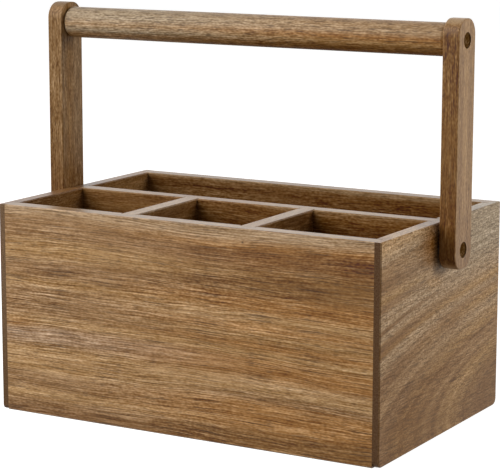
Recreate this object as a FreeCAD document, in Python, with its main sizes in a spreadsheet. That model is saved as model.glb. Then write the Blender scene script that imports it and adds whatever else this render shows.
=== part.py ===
import FreeCAD, Part

import math
import os

import Sketcher

# A wooden utensil caddy: an open box of rabbeted boards, split into one long compartment at the back and
# three at the front, with a carrying handle that swings on two screws through the end panels.
#
# Millimetres.  +Z is up, +X runs along the box to the right, -Y is the front.  The origin is the middle
# of the box's footprint, on the surface that it stands on.
#
# Every size below is a cell of the document's sheet, and every sub-part is bound to those cells.

SIZES = [
    # alias, millimetres (or degrees), meaning
    ("box_length", 300.0, "outside length of the box, along X"),
    ("box_width", 190.0, "outside width of the box, along Y"),
    ("box_height", 148.5, "from the surface to the rim"),
    ("long_board", 12.0, "thickness of the front and rear panels"),
    ("end_board", 10.0, "thickness of the end panels"),
    ("corner_lip", 5.0, "what the end panel's rabbet leaves over the long panels' ends"),
    ("divider_board", 12.0, "thickness of the dividers"),
    ("cross_spacing", 94.0, "between the middles of the two cross dividers"),
    ("floor_board", 6.0, "thickness of the bottom panel"),
    ("floor_rise", 5.0, "from the surface to the underside of the bottom panel"),
    ("groove_depth", 4.0, "how deep the bottom panel's groove goes into each wall"),
    ("dado_depth", 3.0, "how deep a divider is let into the board that it meets"),
    ("joint_clearance", 0.1, "glue gap at the end of each groove, dado and pilot hole"),
    ("edge_easing", 0.8, "sanded chamfer along the boards' open edges"),
    ("left_foot_radius", 3.0, "rounding of the left end panel's two lower corners"),
    ("right_foot_radius", 5.0, "rounding of the right end panel's two lower corners"),
    ("arm_width", 26.0, "width of a handle arm"),
    ("arm_end_flat", 3.4, "short flat between the two rounded corners at each end of an arm"),
    ("arm_foot", 13.2, "from the swing axis down to an arm's lower end"),
    ("arm_head", 14.5, "from the middle of the bar up to an arm's upper end"),
    ("arm_board", 12.0, "thickness of a handle arm"),
    ("arm_easing", 0.8, "rounding of the arms' long edges"),
    ("rim_to_pivot", 18.5, "from the rim down to the axis that the handle swings on"),
    ("pivot_to_bar", 140.0, "from the swing axis to the middle of the bar"),
    ("bar_diameter", 22.5, "diameter of the hand bar"),
    ("bar_chamfer", 1.6, "chamfer at the bar's ends"),
    ("washer_board", 1.9, "thickness of the friction washers"),
    ("washer_diameter", 18.0, "outside diameter of the friction washers"),
    ("swing_play", 0.1, "gap on each face that turns against another"),
    ("pin_diameter", 6.0, "smooth shoulder of the pivot screw, which the arm turns on"),
    ("pin_clearance", 0.08, "running gap all round the pivot screw's shoulder"),
    ("screw_diameter", 4.5, "outside of the screw threads"),
    ("screw_clearance", 0.05, "gap all round a screw or a plug in its hole"),
    ("screw_point", 4.0, "length of a screw's pointed tip"),
    ("pivot_screw_reach", 35.0, "how far the pivot screw goes in past the end panel's face"),
    ("bar_screw_reach", 34.0, "how far the bar screw goes into the end of the bar"),
    ("head_diameter", 9.0, "diameter of the screw heads"),
    ("head_height", 3.0, "height of the screw heads"),
    ("drive_size", 4.0, "hexagon socket in the screw heads, across its flats"),
    ("drive_depth", 1.8, "depth of the hexagon sockets"),
    ("plug_diameter", 11.0, "hole that a screw head and its wooden plug sit in"),
    ("plug_length", 3.0, "thickness of the wooden plugs"),
    ("plug_recess", 0.5, "how far a plug's face lies below the arm's"),
    ("plug_gap", 0.3, "space between a plug and the screw head under it"),
]

# Lengths that follow from the sheet, as expressions.
INNER_LENGTH = "(sizes.box_length - 2 * sizes.end_board)"
INNER_WIDTH = "(sizes.box_width - 2 * sizes.long_board)"
FLOOR_TOP = "(sizes.floor_rise + sizes.floor_board)"
WALL_ABOVE_FLOOR = "(sizes.box_height - %s)" % FLOOR_TOP
DIVIDER_SLOT = "(sizes.divider_board + 2 * sizes.joint_clearance)"
TONGUE = "(sizes.dado_depth - sizes.joint_clearance)"
LONG_DIVIDER_LENGTH = "(%s + 2 * %s)" % (INNER_LENGTH, TONGUE)
PIVOT_HEIGHT = "(sizes.box_height - sizes.rim_to_pivot)"
ARM_GAP = "(sizes.washer_board + sizes.swing_play)"
BAR_LENGTH = "(sizes.box_length + 2 * %s)" % ARM_GAP
COUNTERBORE = "(sizes.plug_recess + sizes.plug_length + sizes.plug_gap + sizes.head_height)"
ARM_WEB = "(sizes.arm_board - %s)" % COUNTERBORE
SCREW_RADIUS = "(sizes.screw_diameter / 2)"
PILOT_DIAMETER = "(sizes.screw_diameter + 2 * sizes.screw_clearance)"

ALONG_X, ALONG_Y, ALONG_Z = FreeCAD.Vector(1, 0, 0), FreeCAD.Vector(0, 1, 0), FreeCAD.Vector(0, 0, 1)
NEAR = 1e-4


# ---------------------------------------------------------------- document and helpers

def make_document():
    """Make the document and its sheet of driving sizes."""
    doc = FreeCAD.newDocument("utensil_caddy")
    sheet = doc.addObject("Spreadsheet::Sheet", "sizes")
    for row, (alias, value, meaning) in enumerate(SIZES, start=1):
        sheet.set("A%d" % row, alias)
        sheet.set("B%d" % row, str(value))
        sheet.set("C%d" % row, meaning)
        sheet.setAlias("B%d" % row, alias)
    doc.recompute()
    return doc


def new_body(doc, label):
    """Start a sub-part; its label names its file."""
    body = doc.addObject("PartDesign::Body", "body_" + label)
    body.Label = label
    return body


def place(piece, x="0", y="0", z="0", turn=0):
    """Put a sub-part at three expressions, turned about Z by a number of degrees."""
    piece.Placement = FreeCAD.Placement(FreeCAD.Vector(), FreeCAD.Rotation(ALONG_Z, turn))
    for axis, expression in zip("xyz", (x, y, z)):
        piece.setExpression("Placement.Base." + axis, expression)


def side_of(label):
    """Return +1 for a right-hand piece and -1 for a left-hand one."""
    return 1 if label.startswith("right") else -1


def on_side(label, expression):
    """Return the expression for an X position on the piece's own side of the box."""
    return expression if side_of(label) > 0 else "-" + expression


def turn_of(label):
    """Right-hand pieces are drawn facing +X; left-hand ones are turned half way round."""
    return 0 if side_of(label) > 0 else 180


def sketch_on(body, role, name, offset="0"):
    """Attach a new sketch to one of the body's own origin planes, moved along its normal."""
    sketch = body.newObject("Sketcher::SketchObject", name)
    plane = next(item for item in body.Origin.OriginFeatures if item.Role == role)
    sketch.AttachmentSupport = [(plane, "")]
    sketch.MapMode = "FlatFace"
    sketch.setExpression(".AttachmentOffset.Base.z", offset)
    return sketch


def drive(sketch, kind, *where_and_expression):
    """Add a dimension to a sketch and bind it to an expression."""
    *where, expression = where_and_expression
    value = float(sketch.evalExpression(expression))
    index = sketch.addConstraint(Sketcher.Constraint(kind, *where, value))
    sketch.setExpression("Constraints[%d]" % index, expression)


def polygon(sketch, points):
    """Draw a closed outline through points given as pairs of expressions."""
    ends = [FreeCAD.Vector(float(sketch.evalExpression(x)), float(sketch.evalExpression(y)), 0)
            for x, y in points]
    count = len(points)
    first = sketch.GeometryCount
    for index, start in enumerate(ends):
        sketch.addGeometry(Part.LineSegment(start, ends[(index + 1) % count]), False)
    for index in range(count):
        following = first + (index + 1) % count
        sketch.addConstraint(Sketcher.Constraint("Coincident", first + index, 2, following, 1))
    for index, (x, y) in enumerate(points):
        drive(sketch, "DistanceX", -1, 1, first + index, 1, x)
        drive(sketch, "DistanceY", -1, 1, first + index, 1, y)


def rectangle(sketch, left, low, wide, high):
    """Draw a rectangle from its lower left corner; all four sizes are expressions."""
    right = "%s + %s" % (left, wide)
    top = "%s + %s" % (low, high)
    polygon(sketch, [(left, low), (right, low), (right, top), (left, top)])


def circle(sketch, x, y, diameter):
    """Draw a circle; its centre and diameter are expressions."""
    centre = FreeCAD.Vector(float(sketch.evalExpression(x)), float(sketch.evalExpression(y)), 0)
    radius = float(sketch.evalExpression(diameter)) / 2
    index = sketch.addGeometry(Part.Circle(centre, ALONG_Z, radius), False)
    drive(sketch, "Diameter", index, diameter)
    drive(sketch, "DistanceX", -1, 1, index, 3, x)
    drive(sketch, "DistanceY", -1, 1, index, 3, y)


def rounded_bar(sketch, flat, wide, low, high):
    """Draw an upright bar about the Y axis; each end keeps a short flat between its rounded corners."""
    corner = "(%s - %s) / 2" % (wide, flat)
    right, left = "%s / 2" % flat, "-%s / 2" % flat
    above_low, below_high = "%s + %s" % (low, corner), "%s - %s" % (high, corner)
    centres = [(right, above_low), (right, below_high), (left, below_high), (left, above_low)]
    radius = float(sketch.evalExpression(corner))
    arcs = []
    for (x, y), quarter in zip(centres, (3, 0, 1, 2)):
        centre = FreeCAD.Vector(float(sketch.evalExpression(x)), float(sketch.evalExpression(y)), 0)
        start = quarter * math.pi / 2
        arcs.append(Part.ArcOfCircle(Part.Circle(centre, ALONG_Z, radius), start, start + math.pi / 2))
    for arc, following in zip(arcs, arcs[1:] + arcs[:1]):
        sketch.addGeometry([arc, Part.LineSegment(arc.EndPoint, following.StartPoint)], False)
    sides = sketch.GeometryCount
    for side in range(sides):
        sketch.addConstraint(Sketcher.Constraint("Tangent", side, 2, (side + 1) % sides, 1))
    for index, (x, y) in enumerate(centres):
        drive(sketch, "DistanceX", -1, 1, 2 * index, 3, x)
        drive(sketch, "DistanceY", -1, 1, 2 * index, 3, y)
        drive(sketch, "Radius", 2 * index, corner)


def pad(body, sketch, length, symmetric=False, reverse=False):
    """Give a sketch a thickness."""
    feature = body.newObject("PartDesign::Pad", sketch.Name + "_pad")
    feature.Profile = sketch
    feature.SideType = "Symmetric" if symmetric else "One side"
    feature.Reversed = reverse
    feature.setExpression("Length", length)
    body.Document.recompute()
    return feature


def pocket(body, sketch, depth=None, symmetric=False, reverse=False):
    """Cut a sketch out of the body, right through unless a depth is given, and check that it cut."""
    before = body.Shape.Volume
    feature = body.newObject("PartDesign::Pocket", sketch.Name + "_pocket")
    feature.Profile = sketch
    feature.SideType = "Symmetric" if symmetric else "One side"
    feature.Reversed = reverse
    if depth is None:
        feature.Type = "ThroughAll"
    else:
        feature.setExpression("Length", depth)
    body.Document.recompute()
    if body.Shape.Volume > before - NEAR:
        raise RuntimeError("%s removes nothing from %s" % (feature.Name, body.Label))
    return feature


def revolve(body, sketch):
    """Turn a half outline once round the sketch's own horizontal axis."""
    feature = body.newObject("PartDesign::Revolution", sketch.Name + "_turned")
    feature.Profile = sketch
    feature.ReferenceAxis = (sketch, ["H_Axis"])
    feature.Angle = 360
    body.Document.recompute()
    return feature


def edges_where(body, wanted):
    """Name the straight and round edges of the body's newest shape that pass a test."""
    return ["Edge%d" % number for number, edge in enumerate(body.Shape.Edges, start=1) if wanted(edge)]


def in_plane(edge, axis, position):
    """Tell whether all of an edge lies in the plane that an axis crosses at a position."""
    box = edge.BoundBox
    low = FreeCAD.Vector(box.XMin, box.YMin, box.ZMin).dot(axis)
    high = FreeCAD.Vector(box.XMax, box.YMax, box.ZMax).dot(axis)
    return abs(low - position) < NEAR and abs(high - position) < NEAR


def ease(body, kind, name, wanted, size):
    """Chamfer or round the edges that pass a test."""
    base = body.Tip
    feature = body.newObject("PartDesign::" + kind, name)
    feature.Base = (base, edges_where(body, wanted))
    feature.setExpression("Size" if kind == "Chamfer" else "Radius", size)
    body.Document.recompute()
    return feature


def size_of(doc, expression):
    """Work out an expression of the sheet's sizes as a number."""
    return float(doc.getObject("sizes").evalExpression(expression))


# ---------------------------------------------------------------- the box

def grooved_outline(sketch):
    """Cross-section of a long panel: eased edges, and the bottom panel's groove in its inner face."""
    groove_floor = "sizes.long_board - sizes.groove_depth"
    polygon(sketch, [
        ("sizes.edge_easing", "0"),
        ("sizes.long_board", "0"),
        ("sizes.long_board", "sizes.floor_rise"),
        (groove_floor, "sizes.floor_rise"),
        (groove_floor, FLOOR_TOP),
        ("sizes.long_board", FLOOR_TOP),
        ("sizes.long_board", "sizes.box_height - sizes.edge_easing"),
        ("sizes.long_board - sizes.edge_easing", "sizes.box_height"),
        ("sizes.edge_easing", "sizes.box_height"),
        ("0", "sizes.box_height - sizes.edge_easing"),
        ("0", "sizes.edge_easing"),
    ])


def long_panel(doc, label):
    """A front or rear panel, drawn with its outer face at Y = 0 and its ends under the corner lips."""
    body = new_body(doc, label)
    outline = sketch_on(body, "YZ_Plane", label + "_outline")
    grooved_outline(outline)
    pad(body, outline, "sizes.box_length - 2 * sizes.corner_lip", symmetric=True)
    return body


def front_panel(doc):
    """The front panel, with a dado for the end of each cross divider."""
    body = long_panel(doc, "front_panel")
    for side in ("left", "right"):
        dado = sketch_on(body, "XY_Plane", side + "_front_dado", FLOOR_TOP)
        middle = on_side(side, "sizes.cross_spacing / 2")
        rectangle(dado, "%s - %s / 2" % (middle, DIVIDER_SLOT), "sizes.long_board - sizes.dado_depth",
                  DIVIDER_SLOT, "2 * sizes.dado_depth")
        pocket(body, dado, reverse=True)
    place(body, y="-sizes.box_width / 2")


def rear_panel(doc):
    """The rear panel, which is the front one's twin without the dadoes."""
    body = long_panel(doc, "rear_panel")
    place(body, y="sizes.box_width / 2", turn=180)


def end_panel(doc, label, foot_radius):
    """An end panel, drawn with its outer face at X = 0 and the box on its -X side.

    A rabbet down each upright edge leaves a lip over the long panel's end.  The inner face has the
    bottom panel's groove and the long divider's dado, and the pivot screw's hole goes through both.
    """
    body = new_body(doc, label)
    shoulder = "(%s / 2)" % INNER_WIDTH
    plan = sketch_on(body, "XY_Plane", label + "_plan")
    polygon(plan, [
        ("0", "-sizes.box_width / 2"),
        ("0", "sizes.box_width / 2"),
        ("-sizes.corner_lip", "sizes.box_width / 2"),
        ("-sizes.corner_lip", shoulder),
        ("-sizes.end_board", shoulder),
        ("-sizes.end_board", "-" + shoulder),
        ("-sizes.corner_lip", "-" + shoulder),
        ("-sizes.corner_lip", "-sizes.box_width / 2"),
    ])
    pad(body, plan, "sizes.box_height")

    half_width = size_of(doc, "sizes.box_width / 2")
    rim = size_of(doc, "sizes.box_height")
    inner_face = -size_of(doc, "sizes.end_board")

    def lower_corner(edge):
        outer = in_plane(edge, ALONG_Y, half_width) or in_plane(edge, ALONG_Y, -half_width)
        return outer and in_plane(edge, ALONG_Z, 0)

    def open_edge(edge):
        return in_plane(edge, ALONG_X, 0) or (in_plane(edge, ALONG_X, inner_face)
                                              and in_plane(edge, ALONG_Z, rim))

    ease(body, "Fillet", label + "_feet", lower_corner, foot_radius)
    ease(body, "Chamfer", label + "_easing", open_edge, "sizes.edge_easing")

    groove = sketch_on(body, "XZ_Plane", label + "_groove")
    rectangle(groove, "-sizes.end_board - sizes.groove_depth", "sizes.floor_rise",
              "2 * sizes.groove_depth", "sizes.floor_board")
    pocket(body, groove, symmetric=True)

    dado = sketch_on(body, "XY_Plane", label + "_dado", FLOOR_TOP)
    rectangle(dado, "-sizes.end_board - sizes.dado_depth", "-%s / 2" % DIVIDER_SLOT,
              "2 * sizes.dado_depth", DIVIDER_SLOT)
    pocket(body, dado, reverse=True)

    screw_hole = sketch_on(body, "YZ_Plane", label + "_screw_hole")
    circle(screw_hole, "0", PIVOT_HEIGHT, PILOT_DIAMETER)
    pocket(body, screw_hole)
    place(body, x=on_side(label, "sizes.box_length / 2"), turn=turn_of(label))


def bottom_panel(doc):
    """The bottom panel, which slides into the walls' grooves with a glue gap at its edges."""
    panel = doc.addObject("Part::Box", "board_bottom_panel")
    panel.Label = "bottom_panel"
    tongue = "2 * (sizes.groove_depth - sizes.joint_clearance)"
    panel.setExpression("Length", "%s + %s" % (INNER_LENGTH, tongue))
    panel.setExpression("Width", "%s + %s" % (INNER_WIDTH, tongue))
    panel.setExpression("Height", "sizes.floor_board")
    place(panel, "-(%s + %s) / 2" % (INNER_LENGTH, tongue), "-(%s + %s) / 2" % (INNER_WIDTH, tongue),
          "sizes.floor_rise")


def divider_outline(sketch):
    """Cross-section of a divider, standing on the bottom panel, with its two upper edges eased."""
    half = "sizes.divider_board / 2"
    easing = "sizes.edge_easing"
    polygon(sketch, [
        ("-" + half, "0"),
        (half, "0"),
        (half, "%s - %s" % (WALL_ABOVE_FLOOR, easing)),
        ("%s - %s" % (half, easing), WALL_ABOVE_FLOOR),
        ("-%s + %s" % (half, easing), WALL_ABOVE_FLOOR),
        ("-" + half, "%s - %s" % (WALL_ABOVE_FLOOR, easing)),
    ])


def long_divider(doc):
    """The divider along the middle of the box, with its ends in the end panels' dadoes."""
    body = new_body(doc, "long_divider")
    outline = sketch_on(body, "YZ_Plane", "long_divider_outline")
    divider_outline(outline)
    pad(body, outline, LONG_DIVIDER_LENGTH, symmetric=True)
    for side in ("left", "right"):
        dado = sketch_on(body, "XY_Plane", side + "_divider_dado")
        middle = on_side(side, "sizes.cross_spacing / 2")
        rectangle(dado, "%s - %s / 2" % (middle, DIVIDER_SLOT),
                  "-sizes.divider_board / 2 - sizes.dado_depth", DIVIDER_SLOT, "2 * sizes.dado_depth")
        pocket(body, dado, reverse=True)

    board_at_pivot = "sizes.end_board - %s" % TONGUE
    hole_depth = "sizes.pivot_screw_reach - (%s) + sizes.joint_clearance" % board_at_pivot
    for side in ("left", "right"):
        hole = sketch_on(body, "YZ_Plane", side + "_pivot_pilot",
                         on_side(side, "(%s / 2)" % LONG_DIVIDER_LENGTH))
        circle(hole, "0", "%s - %s" % (PIVOT_HEIGHT, FLOOR_TOP), PILOT_DIAMETER)
        pocket(body, hole, hole_depth, reverse=side_of(side) < 0)
    place(body, z=FLOOR_TOP)


def cross_divider(doc, label):
    """A short divider between the front panel and the long divider, let into both."""
    body = new_body(doc, label)
    outline = sketch_on(body, "XZ_Plane", label + "_outline")
    divider_outline(outline)
    clear_span = "(%s / 2 - sizes.divider_board / 2)" % INNER_WIDTH
    pad(body, outline, "%s + 2 * %s" % (clear_span, TONGUE), symmetric=True)
    middle = "-(%s / 2 + sizes.divider_board / 2) / 2" % INNER_WIDTH
    place(body, x=on_side(label, "sizes.cross_spacing / 2"), y=middle, z=FLOOR_TOP)


# ---------------------------------------------------------------- the swinging handle

def arm(doc, label):
    """A handle arm, drawn with its inner face at X = 0 and the swing axis along X through the origin.

    The stepped hole at each end takes a screw: its head and a wooden plug in the wide part, and the
    pivot screw's shoulder, or the bar screw's thread, in the narrow one.
    """
    body = new_body(doc, label)
    outline = sketch_on(body, "YZ_Plane", label + "_outline")
    rounded_bar(outline, "sizes.arm_end_flat", "sizes.arm_width", "-sizes.arm_foot",
                "(sizes.pivot_to_bar + sizes.arm_head)")
    pad(body, outline, "sizes.arm_board")

    outer_face = size_of(doc, "sizes.arm_board")

    def face_edge(edge):
        return in_plane(edge, ALONG_X, 0) or in_plane(edge, ALONG_X, outer_face)

    ease(body, "Fillet", label + "_easing", face_edge, "sizes.arm_easing")

    counterbores = sketch_on(body, "YZ_Plane", label + "_counterbores", "sizes.arm_board")
    circle(counterbores, "0", "0", "sizes.plug_diameter")
    circle(counterbores, "0", "sizes.pivot_to_bar", "sizes.plug_diameter")
    pocket(body, counterbores, COUNTERBORE)

    holes = sketch_on(body, "YZ_Plane", label + "_holes", "sizes.arm_board")
    circle(holes, "0", "0", "sizes.pin_diameter + 2 * sizes.pin_clearance")
    circle(holes, "0", "sizes.pivot_to_bar", PILOT_DIAMETER)
    pocket(body, holes)
    place_on_handle(body, label)


def place_on_handle(piece, label, outward="0", above_pivot="0"):
    """Put a piece a distance outward from its arm's inner face, and a height above the swing axis."""
    reach = "(%s / 2 + %s)" % (BAR_LENGTH, outward)
    place(piece, x=on_side(label, reach), z="%s + %s" % (PIVOT_HEIGHT, above_pivot), turn=turn_of(label))


def handle_bar(doc):
    """The round hand bar, butted between the arms, with a screw hole in each end."""
    body = new_body(doc, "handle_bar")
    outline = sketch_on(body, "XY_Plane", "handle_bar_outline")
    end = "%s / 2" % BAR_LENGTH
    radius = "sizes.bar_diameter / 2"
    hole_end = "%s - sizes.bar_screw_reach - sizes.joint_clearance" % end
    hole_radius = "%s / 2" % PILOT_DIAMETER
    right_half = [
        (hole_end, "0"),
        (hole_end, hole_radius),
        (end, hole_radius),
        (end, "%s - sizes.bar_chamfer" % radius),
        ("%s - sizes.bar_chamfer" % end, radius),
    ]
    left_half = [("-(%s)" % x, y) for x, y in reversed(right_half)]
    polygon(outline, right_half + left_half)
    revolve(body, outline)
    place(body, z="%s + sizes.pivot_to_bar" % PIVOT_HEIGHT)


def screw(doc, label, steps):
    """A turned screw along X, from its point to its head, with a hexagon socket in the head.

    The steps are (X, radius) pairs of expressions, in order from the axis at the point to the axis at
    the head.
    """
    body = new_body(doc, label)
    outline = sketch_on(body, "XY_Plane", label + "_outline")
    polygon(outline, steps)
    revolve(body, outline)
    socket = sketch_on(body, "YZ_Plane", label + "_socket", steps[-1][0])
    corner = "sizes.drive_size / 2 / cos(30)"
    polygon(socket, [("%s * cos(%d)" % (corner, angle), "%s * sin(%d)" % (corner, angle))
                     for angle in range(30, 390, 60)])
    pocket(body, socket, "sizes.drive_depth")
    return body


def pivot_screw(doc, label):
    """A shoulder screw, drawn from the end panel's face: thread inside, washer, arm, then its head."""
    shoulder_start = "sizes.washer_board"
    head_seat = "(%s + %s + sizes.swing_play)" % (ARM_GAP, ARM_WEB)
    head_top = "%s + sizes.head_height" % head_seat
    body = screw(doc, label, [
        ("-sizes.pivot_screw_reach", "0"),
        ("-sizes.pivot_screw_reach + sizes.screw_point", SCREW_RADIUS),
        (shoulder_start, SCREW_RADIUS),
        (shoulder_start, "sizes.pin_diameter / 2"),
        (head_seat, "sizes.pin_diameter / 2"),
        (head_seat, "sizes.head_diameter / 2"),
        (head_top, "sizes.head_diameter / 2"),
        (head_top, "0"),
    ])
    place(body, x=on_side(label, "sizes.box_length / 2"), z=PIVOT_HEIGHT, turn=turn_of(label))


def bar_screw(doc, label):
    """A wood screw, drawn from the arm's inner face: thread in the bar, head on the counterbore."""
    head_top = "%s + sizes.head_height" % ARM_WEB
    body = screw(doc, label, [
        ("-sizes.bar_screw_reach", "0"),
        ("-sizes.bar_screw_reach + sizes.screw_point", SCREW_RADIUS),
        (ARM_WEB, SCREW_RADIUS),
        (ARM_WEB, "sizes.head_diameter / 2"),
        (head_top, "sizes.head_diameter / 2"),
        (head_top, "0"),
    ])
    place_on_handle(body, label, above_pivot="sizes.pivot_to_bar")


def washer(doc, label):
    """A friction washer between an end panel and its arm."""
    body = new_body(doc, label)
    ring = sketch_on(body, "YZ_Plane", label + "_ring")
    circle(ring, "0", "0", "sizes.washer_diameter")
    circle(ring, "0", "0", PILOT_DIAMETER)
    pad(body, ring, "sizes.washer_board")
    place(body, x=on_side(label, "sizes.box_length / 2"), z=PIVOT_HEIGHT, turn=turn_of(label))


def plug(doc, label, above_pivot):
    """A wooden plug over a screw head, a little below the arm's outer face."""
    body = new_body(doc, label)
    disc = sketch_on(body, "YZ_Plane", label + "_disc")
    circle(disc, "0", "0", "sizes.plug_diameter - 2 * sizes.screw_clearance")
    pad(body, disc, "sizes.plug_length")
    inner_face = "sizes.arm_board - sizes.plug_recess - sizes.plug_length"
    place_on_handle(body, label, inner_face, above_pivot)


# ---------------------------------------------------------------- build, check, write

def build():
    """Make every sub-part."""
    doc = make_document()
    front_panel(doc)
    rear_panel(doc)
    bottom_panel(doc)
    long_divider(doc)
    handle_bar(doc)
    for side in ("left", "right"):
        end_panel(doc, side + "_end_panel", "sizes.%s_foot_radius" % side)
        cross_divider(doc, side + "_cross_divider")
        arm(doc, side + "_arm")
        pivot_screw(doc, side + "_pivot_screw")
        washer(doc, side + "_pivot_washer")
        bar_screw(doc, side + "_bar_screw")
        plug(doc, side + "_pivot_plug", "0")
        plug(doc, side + "_bar_plug", "sizes.pivot_to_bar")
    doc.recompute()
    return doc


def sub_parts(doc):
    """Return the objects that are pieces of the caddy."""
    return [item for item in doc.Objects if item.TypeId in ("PartDesign::Body", "Part::Box")]


def check(doc):
    """Stop if any object failed to recompute or any piece isn't one sound solid."""
    for item in doc.Objects:
        if "Invalid" in item.State or "Error" in item.State:
            raise RuntimeError("%s failed: %s" % (item.Label, item.State))
    for piece in sub_parts(doc):
        shape = piece.Shape
        if shape.isNull() or not shape.isValid() or len(shape.Solids) != 1:
            raise RuntimeError("%s isn't one valid solid" % piece.Label)


def write(doc):
    """Write one STEP file for each piece."""
    os.makedirs("parts", exist_ok=True)
    for piece in sub_parts(doc):
        piece.Shape.exportStep("parts/%s.step" % piece.Label)
        print("%-20s %9.1f mm3" % (piece.Label, piece.Shape.Volume))


document = build()
check(document)
write(document)
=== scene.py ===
"""Finish the utensil caddy: oiled acacia boards, a swinging handle and its fittings, on a white sweep.

Metres in the scene, millimetres in the wood's patterns.  +X runs along the box to the right, -Y is its
front and +Z is up.
"""

import math
from functools import partial

import bmesh
import bpy
import numpy as np
from bpy.props import FloatProperty, FloatVectorProperty, PointerProperty
from bpy.types import NodeSocket, Operator, Panel, PropertyGroup
from mathutils import Matrix, Vector


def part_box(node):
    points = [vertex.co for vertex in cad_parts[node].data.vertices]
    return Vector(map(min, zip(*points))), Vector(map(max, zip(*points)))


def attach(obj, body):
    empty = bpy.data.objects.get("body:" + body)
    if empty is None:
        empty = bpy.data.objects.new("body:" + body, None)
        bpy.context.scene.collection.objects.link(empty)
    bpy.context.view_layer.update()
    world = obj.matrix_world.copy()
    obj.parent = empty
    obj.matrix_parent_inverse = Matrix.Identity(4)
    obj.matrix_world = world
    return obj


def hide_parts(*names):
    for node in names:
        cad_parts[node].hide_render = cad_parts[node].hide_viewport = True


bl_info = {
    "name": "Utensil caddy",
    "version": (1, 0, 0),
    "blender": (4, 5, 0),
    "location": "View3D > Sidebar > Caddy",
    "description": "Finishes the utensil caddy's boards, handle and fittings, and sets its stage",
    "category": "Object",
}

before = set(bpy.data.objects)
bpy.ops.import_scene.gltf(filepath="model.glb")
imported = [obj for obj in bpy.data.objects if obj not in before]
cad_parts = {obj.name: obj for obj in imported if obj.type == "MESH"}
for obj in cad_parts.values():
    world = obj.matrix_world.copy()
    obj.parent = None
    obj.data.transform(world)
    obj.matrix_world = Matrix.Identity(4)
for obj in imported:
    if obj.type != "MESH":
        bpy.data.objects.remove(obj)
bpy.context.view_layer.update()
SIDES = ("left", "right")
MM = 0.001
X, Y, Z = 0, 1, 2


# ---------------------------------------------------------------- colours

def linear(hex_colour):
    """Turn an sRGB hex colour into the linear RGBA that shaders take."""
    channels = [int(hex_colour[start:start + 2], 16) / 255 for start in (1, 3, 5)]
    return [c / 12.92 if c <= 0.04045 else ((c + 0.055) / 1.055) ** 2.4 for c in channels] + [1.0]


def wood_colour(name, description, hex_colour):
    """A colour that a user may change, with its default as sRGB hex."""
    return FloatVectorProperty(name=name, description=description, default=linear(hex_colour), size=4,
                               min=0, max=1, subtype="COLOR")


class CaddyColours(PropertyGroup):
    """The colours of the caddy's wood and fittings"""

    pale_tan: wood_colour("Pale tan", "Acacia's palest bands", "#B08A5D")
    golden_tan: wood_colour("Golden tan", "Acacia's golden bands", "#A37D4E")
    hazel: wood_colour("Hazel", "Acacia's middle brown", "#947048")
    chestnut: wood_colour("Chestnut", "Acacia's dark bands", "#805C36")
    russet: wood_colour("Russet", "Warm dark bands", "#80592B")
    umber: wood_colour("Umber", "Acacia's darkest bands", "#744A1C")
    amber: wood_colour("Amber", "Warm patches in the heartwood", "#9A6C38")
    mauve: wood_colour("Mauve", "Cool, pinkish patches", "#9F7E5D")
    ash: wood_colour("Ash", "Greyer bands near the sapwood", "#A38460")
    # Partly painted sheen: on the bar's upper half this grey colour stands in for the white room's
    # reflection. On the right end it is the wood's own tone.
    sapwood_and_sheen: wood_colour("Sapwood", "The greyest and palest wood, at the bar's left", "#A28D71")
    pore: wood_colour("Pore", "Open pores and hairlines", "#3C2614")
    end_grain: wood_colour("End grain", "The left end's boards cut across the fibres", "#6B533C")
    arm_end_grain: wood_colour("Arm end grain", "The left arm's rounded ends", "#7C6245")
    dark_end_grain: wood_colour("Dark end grain", "The right end's board cut across the fibres", "#573E28")
    plug: wood_colour("Plug", "The screw plugs' end grain", "#54391A")
    zinc: wood_colour("Zinc plate", "The screws", "#B4B7BA")
    # The washers' near black is partly their own colour and partly painted shade in the gap between each arm
    # and the box.
    nylon: wood_colour("Nylon", "The friction washers", "#1B1917")


class CaddySizes(PropertyGroup):
    """The hand-made pieces' small sizes"""

    bar_edge: FloatProperty(name="Bar edge", description="Rounding where the bar's chamfers meet its side",
                            default=0.6 * MM, min=0.1 * MM, max=1.5 * MM, unit="LENGTH")
    bar_waver: FloatProperty(name="Bar waver", description="How far sanding left the bar from a true round",
                             default=0.12 * MM, min=0, max=0.3 * MM, unit="LENGTH")
    plug_dome: FloatProperty(name="Plug dome", description="Rise of a plug's face at its middle",
                             default=0.15 * MM, min=0, max=0.4 * MM, unit="LENGTH")
    plug_edge: FloatProperty(name="Plug edge", description="How far a plug's worn edge falls away",
                             default=0.35 * MM, min=0.1 * MM, max=0.8 * MM, unit="LENGTH")


# ---------------------------------------------------------------- nodes

def node(tree, kind, inputs=(), out=0, stops=(), **settings):
    """Add a shader node with its settings, and give back one of its outputs, or all of them for None.

    The inputs are values to set or sockets to link, in order or by name or number.  The stops are a colour
    ramp's (place, colour) pairs.
    """
    made = tree.nodes.new("ShaderNode" + kind)
    for name, value in settings.items():
        setattr(made, name, value)
    for name, value in inputs.items() if isinstance(inputs, dict) else enumerate(inputs):
        if isinstance(value, NodeSocket):
            tree.links.new(value, made.inputs[name])
        else:
            made.inputs[name].default_value = value
    for index, (place, colour) in enumerate(stops):
        elements = made.color_ramp.elements
        element = elements[index] if index < 2 else elements.new(place)
        element.position = place
        element.color = colour
    return made.outputs if out is None else made.outputs[out]


# The sockets of a Mix node that is set to colours.
FACTOR, FIRST, SECOND, MIXED = 0, 6, 7, 2


def new_material(name):
    """Start a material with an empty node tree, and give back a short way to add its nodes."""
    material = bpy.data.materials.new(name)
    material.use_nodes = True
    material.node_tree.nodes.clear()
    return material, partial(node, material.node_tree)


def figure(add, space, length, width, seed):
    """A cloud of soft lumps, so many millimetres long and wide, drawn out along the grain."""
    scaled = add("Mapping", {"Vector": space, "Location": (seed * 7.1, seed * 3.7, seed * 5.3),
                             "Scale": (1 / length, 1 / width, 1 / width)})
    return add("TexNoise", {"Vector": scaled, "Scale": 1.0, "Detail": 0.0})


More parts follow.
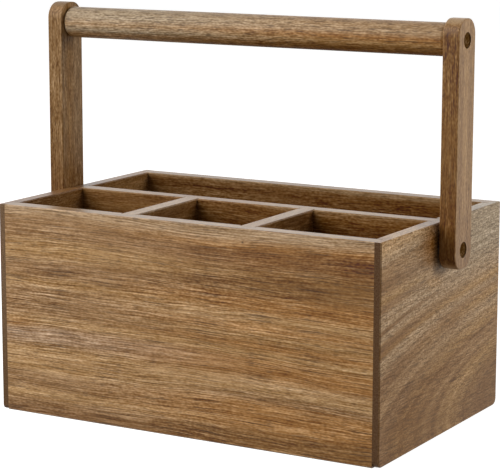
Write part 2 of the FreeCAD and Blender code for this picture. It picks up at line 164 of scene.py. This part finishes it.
# Streaks change red, green and blue alike to the eye, so they are added to the colour as the eye takes it,
# by this power, and not to its light.  The sum is no darker than the darkest wood.
EYE = 2.2
DARKEST = (0.2, 0.13, 0.07)

# The acacia's figure: millimetres along and across the grain, and across it alone for a growth line.
SWAY = (150, 45)
RIPPLE = (36, 10)
BUSY_PLACES = (60, 25)
FLECK = (2.2, 0.9)
PORE = (7, 0.65)
HAIRLINE = (40, 0.5)
GROWTH_LINE = 2.4
SPECKS_PER_MM = 0.8
SPECK_STRENGTH = 0.18

# Where along the grain, in millimetres, a board's first bands give way to its far bands.
FAR_BLEND = {"From Min": -100, "From Max": 80}

# How squarely a face looks along an axis before it counts as facing that way, from not at all to fully.
EDGE_FACING = {"From Min": 0.6, "From Max": 0.95}
END_FACING = {"From Min": 0.55, "From Max": 0.85}

# The streaks' sizes, and how strong each is on a piece.  A shorter list leaves out the last.
STREAKS = ((2.2, 0.95), (8, 0.9), (24, 0.9), (64, 0.7), (60, 5), (240, 8.5), (10, 2))
FRONT_STREAKS = (0.21, 0.17, 0.23, 0.33, 0.06, 0.14)
END_STREAKS = (0.22, 0.14, 0.09, 0.1, 0.06, 0.05)
CALM_STREAKS = (0.18, 0.2, 0.1, 0.1, 0.05, 0.05)
BAR_STREAKS = (0.26, 0.26, 0.14, 0.1, 0.05, 0.05, 0.06)
ARM_STREAKS = (0.22, 0.24, 0.12, 0.1, 0.05, 0.06, 0.1)


def oiled_acacia(name, axes, bands, far_bands=None, rings=None, patches=(), end="chestnut", seed=0.0,
                 drift=0.0, wander=4.0, streaks=CALM_STREAKS, growth_lines=0.08, flecks=0.0, pores=0.35,
                 hairlines=0.0, shade=0.0, edge_tone_and_painted_shade=0.0, gloss=0.4, shine=0.3, edge_coat=0.0):
    """Oiled acacia: planed hardwood in straight brown, tan and amber bands, with short dark pores.

    The axes say which way lie the grain, the width of the face and the depth.  The bands are (millimetres,
    colour name) pairs, counted across the grain; far_bands are the same at the board's far end.  Where
    rings are given, as (along, across, stretch, growth), the bands are counted outward from that point
    instead, and the rings are drawn out along the grain by the stretch, more so further out, as they are
    where a board is sawn at a slant to the trunk.  Patches are (along, across, length, width, colour name,
    strength).  The end is the colour of its end grain.

    Drift turns the grain by so many degrees, and wander sways it by about so many millimetres.  Streaks,
    growth_lines, flecks, pores and hairlines say how strong each part of the figure is.  The face and edge
    shade numbers lighten or darken the faces and the edges: partly the wood's own tone and partly painted
    shade, which darkens the boards inside the box, and the rims and the bar's top where more light falls.
    Gloss is the oil's roughness and shine its specular level, and edge_coat is the weight of the coat on what
    faces up.
    """
    material, add = new_material(name)
    colours = bpy.context.scene.caddy_colours
    coordinates = add("TexCoord", out=None)
    place = add("SeparateXYZ", (coordinates["Object"],), out=None)
    turned = add("CombineXYZ", [place[axis] for axis in axes])
    space = add("Mapping", {"Vector": turned, "Scale": [1 / MM] * 3, "Rotation": (0, 0, math.radians(drift))})

    # The grain wanders slowly across the board.
    sway = add("Math", (figure(add, space, *SWAY, seed + 1), 0.5), operation="SUBTRACT")
    ripple = add("Math", (figure(add, space, *RIPPLE, seed + 2), 0.5), operation="SUBTRACT")
    shift = add("Math", (sway, wander * 2, add("Math", (ripple, wander * 0.5), operation="MULTIPLY")),
                operation="MULTIPLY_ADD")
    straight = add("SeparateXYZ", (space,), out=None)
    lane = add("Math", (straight[Y], shift), operation="ADD")
    wavy = add("CombineXYZ", (straight[X], lane, straight[Z]))
    if rings:
        along, across, stretch, growth = rings
        rise = add("Math", (lane, across), operation="SUBTRACT")
        drawn_out = add("Math", (rise, growth, stretch), operation="MULTIPLY_ADD")
        run = add("Math", (add("Math", (straight[X], along), operation="SUBTRACT"), drawn_out),
                  operation="DIVIDE")
        lane = add("VectorMath", (add("CombineXYZ", (run, rise, 0.0)),), out="Value", operation="LENGTH")

    # Broad bands of colour, which may differ at the board's two ends.
    def banded(pairs):
        low, high = pairs[0][0], pairs[-1][0]
        where = add("MapRange", {"Value": lane, "From Min": low, "From Max": high})
        stops = [((at - low) / (high - low), getattr(colours, colour)) for at, colour in pairs]
        return add("ValToRGB", (where,), stops=stops)

    colour = banded(bands)
    if far_bands:
        far = add("MapRange", {"Value": straight[X], **FAR_BLEND}, interpolation_type="SMOOTHSTEP")
        colour = add("Mix", {FACTOR: far, FIRST: colour, SECOND: banded(far_bands)}, MIXED, data_type="RGBA")

    # Edges along the grain get a shade of their own: partly the wood's tone, partly painted shade where more
    # light falls, as on the rims and the bar's top.
    facing = add("SeparateXYZ", (coordinates["Normal"],), out=None)
    edge = add("MapRange", {"Value": add("Math", (facing[axes[Y]],), operation="ABSOLUTE"), **EDGE_FACING},
               interpolation_type="SMOOTHSTEP")
    tone_and_painted_shading = add("MapRange", {"Value": edge, "To Min": shade, "To Max": edge_tone_and_painted_shade})

    # Streaks and growth lines lighten and darken it, more in some places than in others.
    line_count = add("Math", (lane, GROWTH_LINE), operation="DIVIDE")
    lines = add("TexNoise", {"W": line_count, "Scale": 1.0, "Detail": 2.0}, noise_dimensions="1D")
    light = add("Math", (lines, growth_lines), operation="MULTIPLY")
    for number, (size, strength) in enumerate(zip(STREAKS, streaks)):
        light = add("Math", (figure(add, wavy, *size, seed + 6 + number), strength, light),
                    operation="MULTIPLY_ADD")
    average = 0.5 * (growth_lines + sum(streaks))
    light = add("Math", (light, average), operation="SUBTRACT")
    busy = add("Math", (figure(add, space, *BUSY_PLACES, seed + 5), 1.2, 0.4), operation="MULTIPLY_ADD")
    light = add("Math", (light, busy), operation="MULTIPLY")

    # Pale flecks of soft tissue round the pores crowd the paler growth bands.
    if flecks:
        spots = add("Math", (figure(add, space, *FLECK, seed + 15), 0.5), operation="SUBTRACT")
        paler = add("MapRange", {"Value": add("RGBToBW", (colour,)), "From Min": 0.15, "From Max": 0.25,
                                 "To Min": 0.1 * flecks, "To Max": flecks})
        light = add("Math", (spots, paler, light), operation="MULTIPLY_ADD")

    # Faces across the fibres show end grain, speckled by the cut ends of the pores.
    along_fibres = add("Math", (facing[axes[X]],), operation="ABSOLUTE")
    across_fibres = add("MapRange", {"Value": along_fibres, **END_FACING}, interpolation_type="SMOOTHSTEP")
    specks = add("TexNoise", {"Vector": space, "Scale": SPECKS_PER_MM, "Detail": 2.0})
    speckled = add("Math", (specks, SPECK_STRENGTH, -SPECK_STRENGTH / 2), operation="MULTIPLY_ADD")
    level = add("Mix", {0: across_fibres, 2: add("Math", (light, tone_and_painted_shading), operation="ADD"), 3: speckled})
    colour = add("Mix", {FACTOR: across_fibres, FIRST: colour, SECOND: getattr(colours, end)}, MIXED,
                 data_type="RGBA")
    for along, across, length, width, tint, strength in patches:
        offset = add("Mapping", {"Vector": wavy, "Location": (-along / length, -across / width, 0),
                                 "Scale": (1 / length, 1 / width, 0)})
        distance = add("VectorMath", (offset,), out="Value", operation="LENGTH")
        inside = add("MapRange", {"Value": distance, "From Min": 1, "From Max": 0, "To Max": strength},
                     interpolation_type="SMOOTHSTEP")
        colour = add("Mix", {FACTOR: inside, FIRST: colour, SECOND: getattr(colours, tint)}, MIXED,
                     data_type="RGBA")
    colour = add("VectorMath", (add("Gamma", (colour, 1 / EYE)), level), operation="ADD")
    colour = add("Gamma", (add("VectorMath", (colour, DARKEST), operation="MAXIMUM"), EYE))

    # Open pores are short dark dashes along the grain.
    pore = add("MapRange", {"Value": figure(add, wavy, *PORE, seed + 14), "From Min": 0.57,
                            "From Max": 0.73, "To Max": pores}, interpolation_type="SMOOTHSTEP")
    colour = add("Mix", {FACTOR: pore, FIRST: colour, SECOND: colours.pore}, MIXED, data_type="RGBA")

    # Where pores line up they make long dark hairlines.
    if hairlines:
        hairline = add("MapRange", {"Value": figure(add, wavy, *HAIRLINE, seed + 17), "From Min": 0.56,
                                    "From Max": 0.76, "To Max": hairlines}, interpolation_type="SMOOTHSTEP")
        colour = add("Mix", {FACTOR: hairline, FIRST: colour, SECOND: colours.pore}, MIXED, data_type="RGBA")

    # Pores are hollow, and darker wood is a little lower and glossier than paler wood.
    height = add("Math", (pore, -0.3, light), operation="MULTIPLY_ADD")
    bump = add("Bump", {"Height": height, "Strength": 0.4, "Distance": 0.2 * MM})
    rough = add("Math", (light, 0.5, gloss), operation="MULTIPLY_ADD")

    # Edges that face up carry a coat of oil, thicker on the paler wood.
    coated = add("Math", (light, 1.5, 1.0), operation="MULTIPLY_ADD")
    upward = add("MapRange", {"Value": facing[Z], **EDGE_FACING, "To Max": edge_coat},
                 interpolation_type="SMOOTHSTEP")
    coated = add("Math", (coated, upward), operation="MULTIPLY", use_clamp=True)
    shader = add("BsdfPrincipled", {"Base Color": colour, "Roughness": rough, "Normal": bump, "IOR": 1.45,
                                    "Specular IOR Level": shine, "Coat Weight": coated,
                                    "Coat Roughness": 0.35})
    add("OutputMaterial", {"Surface": shader}, None)
    return material


# Which way each board's grain, width and depth lie.
ALONG_BOX = (X, Z, Y)
ALONG_END = (Y, Z, X)
ALONG_ARM = (Z, Y, X)
FLAT_BOARD = (X, Y, Z)


def dress(name, material):
    """Give a CAD node's own mesh a material."""
    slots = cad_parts[name].data.materials
    slots.clear()
    slots.append(material)


# ---------------------------------------------------------------- operators

# The boards' bands: millimetres across the grain, and the colour there.  Where a piece has two lists, the
# first is for its left or front end and the second for the other.
FRONT_LEFT = [
    (0, "chestnut"), (5, "chestnut"), (10, "hazel"), (16, "golden_tan"), (22, "hazel"), (29, "hazel"),
    (34, "golden_tan"), (41, "pale_tan"), (47, "golden_tan"), (54, "mauve"), (60, "mauve"),
    (66, "golden_tan"), (74, "hazel"), (90, "hazel"), (96, "golden_tan"), (101, "hazel"), (108, "hazel"),
    (115, "golden_tan"), (121, "golden_tan"), (128, "hazel"), (139, "hazel"), (145, "ash")]
FRONT_RIGHT = [
    (0, "russet"), (10, "russet"), (16, "amber"), (22, "amber"), (29, "amber"), (34, "hazel"),
    (40, "golden_tan"), (46, "pale_tan"), (51, "amber"), (60, "amber"), (66, "golden_tan"), (71, "amber"),
    (77, "golden_tan"), (83, "amber"), (90, "golden_tan"), (96, "amber"), (103, "amber"), (109, "russet"),
    (120, "russet"), (128, "umber"), (134, "umber"), (138, "amber"), (145, "ash")]
END_FRONT = [
    (42, "chestnut"), (66, "russet"), (73, "russet"), (78, "chestnut"), (82, "hazel"), (85, "hazel"),
    (89, "chestnut"), (92, "chestnut"), (97, "ash"), (99.5, "ash"), (101.2, "russet"),
    (104, "chestnut"), (107, "hazel"), (108, "ash"), (110.2, "ash"), (111.3, "chestnut"),
    (112.2, "chestnut"), (113.3, "ash"), (119, "ash"), (121.5, "hazel"), (123.5, "chestnut"),
    (126, "golden_tan"), (131, "hazel"), (136, "chestnut"), (139, "hazel"), (144.5, "hazel"), (148, "ash"),
    (155, "pale_tan")]
END_REAR = [
    (42, "chestnut"), (50, "chestnut"), (60, "golden_tan"), (64, "hazel"), (70, "hazel"), (72, "chestnut"),
    (76, "golden_tan"), (85, "ash"), (90, "golden_tan"), (93, "hazel"), (97, "ash"), (101, "golden_tan"),
    (106, "ash"), (125, "sapwood_and_sheen"), (155, "sapwood_and_sheen")]
# The left end's bands are darker than the right end's: partly painted shade, for the box's shade on its inner
# face.
LEFT_END = [(42, "russet"), (80, "chestnut"), (100, "hazel"), (108, "chestnut"), (112, "hazel"),
            (125, "chestnut"), (140, "hazel"), (155, "chestnut")]
# The end panels' growth rings, as oiled_acacia takes them.
GROWTH = (331, 8, 5.44, 0.001)
# The inside boards' last stops lie on their rims, where the greyer ash partly paints the sheen that the rims
# take.
INSIDE = [(0, "hazel"), (60, "chestnut"), (105, "hazel"), (115, "chestnut"), (122, "hazel"),
          (130, "chestnut"), (138, "hazel"), (143, "chestnut"), (147.5, "hazel"), (148.5, "ash")]
INSIDE_RIGHT = [(0, "chestnut"), (60, "russet"), (112, "umber"), (120, "chestnut"), (128, "umber"),
                (136, "chestnut"), (143, "russet"), (147.5, "hazel"), (148.5, "ash")]
BOTTOM = [(-95, "hazel"), (0, "chestnut"), (95, "hazel")]
LEFT_ARM = [(-14, "ash"), (-5, "golden_tan"), (4, "ash"), (14, "ash")]
RIGHT_ARM = [(-14, "golden_tan"), (-7, "hazel"), (0, "pale_tan"), (6, "hazel"), (14, "golden_tan")]
# The bar's bands run round it from its underside at 258 to its top at 283, so they paint light as well as
# grain: the pale tan underneath on the left stands in for light from the floor, and the greyer sapwood and
# ash of the upper half stand in for the sheen of the white room.
BAR_LEFT = [(258, "pale_tan"), (263, "hazel"), (266, "sapwood_and_sheen"), (270, "ash"), (275, "sapwood_and_sheen"),
            (283, "sapwood_and_sheen")]
BAR_RIGHT = [(258, "amber"), (263, "russet"), (266, "golden_tan"), (270, "amber"), (274, "ash"),
             (283, "ash")]


class CADDY_OT_boards(Operator):
    """Finish the box's boards in oiled acacia"""

    bl_idname = "caddy.boards"
    bl_label = "Finish boards"

    def execute(self, context):
        dress("front_panel", oiled_acacia(
            "acacia_front_board", ALONG_BOX, FRONT_LEFT, FRONT_RIGHT, seed=3.0, drift=0.6, shade=0.012,
            streaks=FRONT_STREAKS, pores=0.4, hairlines=0.7, edge_tone_and_painted_shade=-0.075, edge_coat=0.7,
            patches=[(-135, 65, 22, 5, "amber", 0.8), (-100, 106, 45, 7, "chestnut", 0.8),
                     (20, 112, 40, 6, "chestnut", 0.5), (0, 91, 90, 8, "pale_tan", 0.7),
                     (20, 45, 90, 6, "pale_tan", 0.6), (47, 141, 1.6, 1.2, "pore", 0.9),
                     (-101, 149, 16, 4, "amber", 0.8)]))
        # In the right end's patches, the umber beside the right arm is a painted shadow of the arm. The pale
        # tan below the arm's foot is painted light laid over the shade there.
        dress("right_end_panel", oiled_acacia(
            "acacia_right_end", ALONG_END, END_FRONT, END_REAR, rings=GROWTH, end="dark_end_grain",
            seed=5.0, wander=2.0, streaks=END_STREAKS, growth_lines=0.22, flecks=0.36, pores=0.4,
            shade=0.014, shine=0.1, edge_coat=0.75, edge_tone_and_painted_shade=-0.1,
            patches=[(-58, 20, 40, 17, "russet", 0.5), (62, 12, 45, 13, "chestnut", 0.5),
                     (-16, 136, 33, 25, "umber", 1.0), (-14, 110, 22, 9, "pale_tan", 0.8),
                     (14, 75, 30, 8, "chestnut", 0.7)]))
        # The left end is also darkened all over: partly painted shade of the box's inside on its inner face.
        # Its patch darkens its front edge towards the bottom.
        dress("left_end_panel", oiled_acacia(
            "acacia_left_end", ALONG_END, LEFT_END, rings=GROWTH, end="end_grain", seed=6.0, wander=2.0,
            streaks=END_STREAKS, flecks=0.4, shine=0.1, shade=-0.065, edge_coat=0.7, edge_tone_and_painted_shade=-0.05,
            patches=[(-95, 0, 12, 95, "dark_end_grain", 0.8)]))
        # The boards inside the box are darkened all over: painted shade for the light that the box's walls
        # keep out. The rear board's outer face is darkened too.
        inner = {"shade": -0.09, "shine": 0.15, "edge_coat": 0.7}
        dress("rear_panel", oiled_acacia("acacia_rear_board", ALONG_BOX, INSIDE, INSIDE_RIGHT, seed=11.0,
                                         edge_tone_and_painted_shade=-0.13, **inner))
        dress("long_divider", oiled_acacia("acacia_long_divider", ALONG_BOX, INSIDE, INSIDE_RIGHT,
                                           seed=14.0, edge_tone_and_painted_shade=-0.08, **inner))
        for side, seed in zip(SIDES, (17.0, 19.0)):
            dress(side + "_cross_divider", oiled_acacia("acacia_%s_divider" % side, ALONG_END, INSIDE,
                                                        seed=seed, edge_tone_and_painted_shade=-0.04, **inner))
        dress("bottom_panel", oiled_acacia("acacia_bottom", FLAT_BOARD, BOTTOM, seed=23.0))
        return {"FINISHED"}


def add_surface(name, points, material):
    """Make a closed mesh from a grid of points: rows along the surface, columns round it.

    points is an array of rows x columns x 3.  Each row is a ring, joined to the next by quads, and the
    first and last rows are single points repeated, which merging by distance closes.
    """
    rows, columns = points.shape[:2]
    index = np.arange(rows * columns).reshape(rows, columns)
    following = np.roll(index, -1, axis=1)
    faces = np.stack([index[:-1], following[:-1], following[1:], index[1:]], axis=-1).reshape(-1, 4)
    mesh = bpy.data.meshes.new(name)
    mesh.from_pydata(points.reshape(-1, 3).tolist(), [], faces.tolist())
    work = bmesh.new()
    work.from_mesh(mesh)
    bmesh.ops.remove_doubles(work, verts=work.verts, dist=1e-6)
    bmesh.ops.recalc_face_normals(work, faces=work.faces)
    work.to_mesh(mesh)
    work.free()
    mesh.shade_smooth()
    mesh.materials.append(material)
    piece = bpy.data.objects.new(name, mesh)
    bpy.context.scene.collection.objects.link(piece)
    return piece


def turned_bar(sizes, material):
    """The hand bar: turned, sanded by hand, with softened chamfers.

    The radius is a function of the place along the bar: full in the middle, less a chamfer at each end.
    The corner between them is the smaller of the two, smoothed by a soft minimum.  Sanding adds a slow
    waver, sin(2a + 11x) cos(23x) round the bar and along it, and none near the ends.
    """
    low, high = (np.array(corner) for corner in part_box("handle_bar"))
    middle, half = (low + high) / 2, (high - low) / 2
    radius, reach, chamfer = half[Z], half[X], 1.6 * MM
    from_end = np.concatenate([np.linspace(0, 4 * chamfer, 24), np.linspace(5 * chamfer, reach, 30)])
    x = np.concatenate([-reach + from_end, (reach - from_end)[::-1][1:]])
    inset = reach - np.abs(x)
    cone, soft = radius - chamfer + inset, sizes.bar_edge
    profile = -soft * np.logaddexp(-cone / soft, -radius / soft)
    angle = np.linspace(0, 2 * math.pi, 96, endpoint=False)
    along, round_it = np.meshgrid(x, angle, indexing="ij")
    waver = sizes.bar_waver * np.sin(2 * round_it + 11 * along) * np.cos(23 * along)
    ring = np.clip(profile[:, None] + waver * (inset[:, None] > 2 * chamfer), None, radius)
    points = np.stack([along, middle[Y] + ring * np.cos(round_it), middle[Z] + ring * np.sin(round_it)], -1)
    caps = [np.broadcast_to([side * reach, middle[Y], middle[Z]], points[:1].shape) for side in (-1, 1)]
    return add_surface("hand_bar", np.concatenate([caps[0], points, caps[1]]), material)


def end_grain_plug(name, node_name, sizes, material):
    """A plug over a screw: a disc with a low dome, whose worn edge falls away and isn't quite round.

    The profile is the share of the radius from 0 to 1.  Its height falls as the share's square, and past
    the worn edge's start also by a quarter round.  The radius wavers as sin(3a + phase) cos(5a) round it.
    """
    start = 0.86
    worn = 1 - start
    uneven_share = 0.02
    low, high = (np.array(corner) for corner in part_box(node_name))
    middle, half = (low + high) / 2, (high - low) / 2
    outward = 1 if middle[X] > 0 else -1
    face, back = middle[X] + outward * half[X], middle[X] - outward * half[X]
    angle = np.linspace(0, 2 * math.pi, 64, endpoint=False)
    phase = middle[Z] * 40 + outward
    uneven = 1 - uneven_share * (1 + np.sin(3 * angle + phase) * np.cos(5 * angle))
    quarter = np.sin(np.linspace(0.1, 1, 8) * math.pi / 2)
    share = np.concatenate([np.linspace(0, start, 14), start + worn * quarter])
    past = np.clip(share - start, 0, 1) / worn
    fall = sizes.plug_edge * (1 - np.sqrt(np.clip(1 - past ** 2, 0, 1)))
    height = -sizes.plug_dome * share ** 2 - fall
    rings = share[:, None] * half[Z] * uneven
    depth = np.broadcast_to(height[:, None], rings.shape)
    rings = np.concatenate([rings, rings[-1:], 0 * rings[:1]])
    x = np.concatenate([face + outward * depth, np.full((2, angle.size), back)])
    points = np.stack([x, middle[Y] + rings * np.cos(angle), middle[Z] + rings * np.sin(angle)], -1)
    return add_surface(name, points, material)


class CADDY_OT_handle(Operator):
    """Finish the handle's arms, and make its bar and plugs"""

    bl_idname = "caddy.handle"
    bl_label = "Make handle"

    def execute(self, context):
        sizes = context.scene.caddy_sizes
        # The chestnut patch at each arm's lower end, by the box's rim, is painted shade.
        dress("left_arm", oiled_acacia(
            "acacia_left_arm", ALONG_ARM, LEFT_ARM, end="arm_end_grain", seed=31.0, wander=2.0,
            streaks=ARM_STREAKS, shade=-0.1, edge_tone_and_painted_shade=-0.15, shine=0.15,
            patches=[(120, 0, 85, 60, "chestnut", 0.8)]))
        dress("right_arm", oiled_acacia(
            "acacia_right_arm", ALONG_ARM, RIGHT_ARM, end="ash", seed=35.0, wander=2.0,
            streaks=ARM_STREAKS, shade=-0.02, edge_tone_and_painted_shade=-0.17, patches=[(116, 0, 90, 60, "chestnut", 0.6)]))
        bar = turned_bar(sizes, oiled_acacia(
            "acacia_bar", ALONG_BOX, BAR_LEFT, BAR_RIGHT, end="hazel", seed=41.0, wander=1.0,
            streaks=BAR_STREAKS, pores=0.6, shade=-0.04, edge_tone_and_painted_shade=-0.085, gloss=0.6, edge_coat=0.45))
        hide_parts("handle_bar")
        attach(bar, "handle")
        wood = dark_plug()
        for side in SIDES:
            for end in ("pivot", "bar"):
                covered = "%s_%s_plug" % (side, end)
                plug = end_grain_plug(covered + "_face", covered, sizes, wood)
                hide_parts(covered)
                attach(plug, "handle")
        return {"FINISHED"}


def dark_plug():
    """Walnut end grain, stained and sunk in its hole: nearly matt, with pale and dark pin pores."""
    material, add = new_material("walnut_end_grain")
    colours = bpy.context.scene.caddy_colours
    place = add("TexCoord", out="Object")
    pores = add("TexVoronoi", {"Vector": place, "Scale": 1 / (1.4 * MM)}, out="Distance")
    cloud = add("TexNoise", {"Vector": place, "Scale": 1 / (3.5 * MM), "Detail": 2.0})
    light = add("Math", (add("Math", (pores, cloud), operation="MULTIPLY"), 0.4, -0.1),
                operation="MULTIPLY_ADD")
    colour = add("VectorMath", (add("Gamma", (colours.plug, 1 / EYE)), light), operation="ADD")
    colour = add("Gamma", (add("VectorMath", (colour, DARKEST), operation="MAXIMUM"), EYE))
    bump = add("Bump", {"Height": pores, "Strength": 0.5, "Distance": 0.2 * MM})
    shader = add("BsdfPrincipled", {"Base Color": colour, "Roughness": 0.8, "Normal": bump, "IOR": 1.36,
                                    "Specular IOR Level": 0.0})
    add("OutputMaterial", {"Surface": shader}, None)
    return material


def zinc_plated_steel():
    """Zinc-plated steel: bright, faintly blue metal with a fine brushed bloom."""
    material, add = new_material("zinc_plated_steel")
    bloom = add("TexNoise", {"Vector": add("TexCoord", out="Object"), "Scale": 900.0, "Detail": 3.0})
    rough = add("Math", (bloom, 0.25, 0.2), operation="MULTIPLY_ADD")
    zinc = bpy.context.scene.caddy_colours.zinc
    colour = add("Mix", {FACTOR: bloom, FIRST: [0.8 * c for c in zinc], SECOND: zinc}, MIXED,
                 data_type="RGBA")
    shader = add("BsdfPrincipled", {"Base Color": colour, "Roughness": rough, "Metallic": 1.0})
    add("OutputMaterial", {"Surface": shader}, None)
    return material


def moulded_nylon():
    """Black moulded nylon: dull, with a faint grain from the mould."""
    material, add = new_material("moulded_black_nylon")
    grain = add("TexNoise", {"Vector": add("TexCoord", out="Object"), "Scale": 2500.0, "Detail": 2.0})
    nylon = bpy.context.scene.caddy_colours.nylon
    colour = add("Mix", {FACTOR: grain, FIRST: nylon, SECOND: [1.6 * c for c in nylon]}, MIXED,
                 data_type="RGBA")
    bump = add("Bump", {"Height": grain, "Strength": 0.2, "Distance": 0.05 * MM})
    shader = add("BsdfPrincipled", {"Base Color": colour, "Roughness": 0.55, "Normal": bump})
    add("OutputMaterial", {"Surface": shader}, None)
    return material


class CADDY_OT_fittings(Operator):
    """Finish the screws and washers"""

    bl_idname = "caddy.fittings"
    bl_label = "Finish fittings"

    def execute(self, context):
        steel, nylon = zinc_plated_steel(), moulded_nylon()
        for side in SIDES:
            dress(side + "_pivot_screw", steel)
            dress(side + "_bar_screw", steel)
            dress(side + "_pivot_washer", nylon)
        return {"FINISHED"}


# ---------------------------------------------------------------- stage

CAMERA_PLACE = (0.70936, -1.22943, 0.38199)
CAMERA_TURN = 30.01
CAMERA_DIP = 10.247
CAMERA_ROLL = 0.095
LENS_MM = 146.467
SENSOR_MM = 36.0
SHADOW_SHARE = 0.5
ROOM_LIGHT = 0.2
FLOOR_REACH = 8.0
FLOOR_DROP = 0.2 * MM
LAMP_AIM = (0, 0, 0.12)
# Each lamp's place in metres, its side in metres and its power in watts.
LAMPS = {
    "front_softbox": ((-1.05, -1.0, 1.0), 1.6, 38.4),
    "right_softbox": ((1.6, 0.5, 0.7), 0.7, 14.5),
}


def white_paper():
    """White paper sweep: it shows as pure white, and keeps the shadow close under the object.

    Lit by the room alone it is exactly white; only where the object shuts out the room does it darken.
    """
    material, add = new_material("white_paper_sweep")
    path = add("LightPath", out=None)
    paper = add("BsdfDiffuse", {"Color": linear("#B0B0B0")})
    faint = add("BsdfDiffuse", {"Color": (SHADOW_SHARE, SHADOW_SHARE, SHADOW_SHARE, 1.0)})
    glow = add("Emission", {"Strength": 1.0 - SHADOW_SHARE * ROOM_LIGHT})
    shown = add("MixShader", (path["Is Camera Ray"], paper, add("AddShader", (faint, glow))))
    mirrored = add("Math", (path["Is Glossy Ray"], path["Is Transmission Ray"]), operation="MAXIMUM")
    white = add("Emission", {"Strength": 1.0})
    add("OutputMaterial", {"Surface": add("MixShader", (mirrored, shown, white))}, None)
    return material


def white_studio():
    """A white room: pure white where it is seen or mirrored, and dimmer as a light on the object."""
    world = bpy.data.worlds.new("white_studio")
    world.use_nodes = True
    world.node_tree.nodes.clear()
    add = partial(node, world.node_tree)
    path = add("LightPath", out=None)
    seen = add("Math", (path["Is Camera Ray"], path["Is Glossy Ray"]), operation="MAXIMUM")
    seen = add("Math", (seen, path["Is Transmission Ray"]), operation="MAXIMUM")
    room = add("Background", {"Color": linear("#FFFFFF"), "Strength": ROOM_LIGHT})
    white = add("Background", {"Color": linear("#FFFFFF"), "Strength": 1.0})
    add("OutputWorld", {"Surface": add("MixShader", (seen, room, white))}, None)
    return world


def softbox(name, place, aim, size, power):
    """A square area lamp at a place, turned towards a point."""
    lamp = bpy.data.lights.new(name, "AREA")
    lamp.size = size
    lamp.energy = power
    holder = bpy.data.objects.new(name, lamp)
    holder.location = place
    holder.rotation_euler = (Vector(aim) - Vector(place)).to_track_quat("-Z", "Y").to_euler()
    bpy.context.scene.collection.objects.link(holder)


class CADDY_OT_stage(Operator):
    """Set the floor, the lamps and the camera"""

    bl_idname = "caddy.stage"
    bl_label = "Set stage"

    def execute(self, context):
        floor = bpy.data.meshes.new("floor")
        corners = [(x * FLOOR_REACH, y * FLOOR_REACH, -FLOOR_DROP) for x, y in
                   ((-1, -1), (1, -1), (1, 1), (-1, 1))]
        floor.from_pydata(corners, [], [(0, 1, 2, 3)])
        floor.materials.append(white_paper())
        sweep = bpy.data.objects.new("floor", floor)
        context.scene.collection.objects.link(sweep)
        context.scene.world = white_studio()

        for name, (place, size, power) in LAMPS.items():
            softbox(name, place, LAMP_AIM, size, power)

        camera = bpy.data.cameras.new("camera")
        camera.lens = LENS_MM
        camera.sensor_width = SENSOR_MM
        holder = bpy.data.objects.new("camera", camera)
        holder.matrix_world = (Matrix.Translation(CAMERA_PLACE)
                               @ Matrix.Rotation(math.radians(CAMERA_TURN), 4, "Z")
                               @ Matrix.Rotation(math.radians(90 - CAMERA_DIP), 4, "X")
                               @ Matrix.Rotation(math.radians(CAMERA_ROLL), 4, "Z"))
        context.scene.collection.objects.link(holder)
        context.scene.camera = holder
        context.scene.view_settings.view_transform = "Standard"
        return {"FINISHED"}


class CADDY_PT_panel(Panel):
    """The caddy's operators, in the 3D view's sidebar"""

    bl_idname = "CADDY_PT_panel"
    bl_label = "Utensil caddy"
    bl_space_type = "VIEW_3D"
    bl_region_type = "UI"
    bl_category = "Caddy"

    def draw(self, context):
        for operator in OPERATORS:
            self.layout.operator(operator.bl_idname)
        for group in (context.scene.caddy_sizes, context.scene.caddy_colours):
            for name in group.bl_rna.properties.keys():
                if name not in ("rna_type", "name"):
                    self.layout.prop(group, name)


OPERATORS = (CADDY_OT_boards, CADDY_OT_handle, CADDY_OT_fittings, CADDY_OT_stage)
CLASSES = (CaddyColours, CaddySizes) + OPERATORS + (CADDY_PT_panel,)


def register():
    for each in CLASSES:
        bpy.utils.register_class(each)
    bpy.types.Scene.caddy_colours = PointerProperty(type=CaddyColours)
    bpy.types.Scene.caddy_sizes = PointerProperty(type=CaddySizes)


def unregister():
    del bpy.types.Scene.caddy_sizes, bpy.types.Scene.caddy_colours
    for each in reversed(CLASSES):
        bpy.utils.unregister_class(each)


def main():
    """Register the add-on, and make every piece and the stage."""
    register()
    bpy.ops.caddy.boards()
    bpy.ops.caddy.handle()
    bpy.ops.caddy.fittings()
    bpy.ops.caddy.stage()


if __name__ == "__main__":
    main()
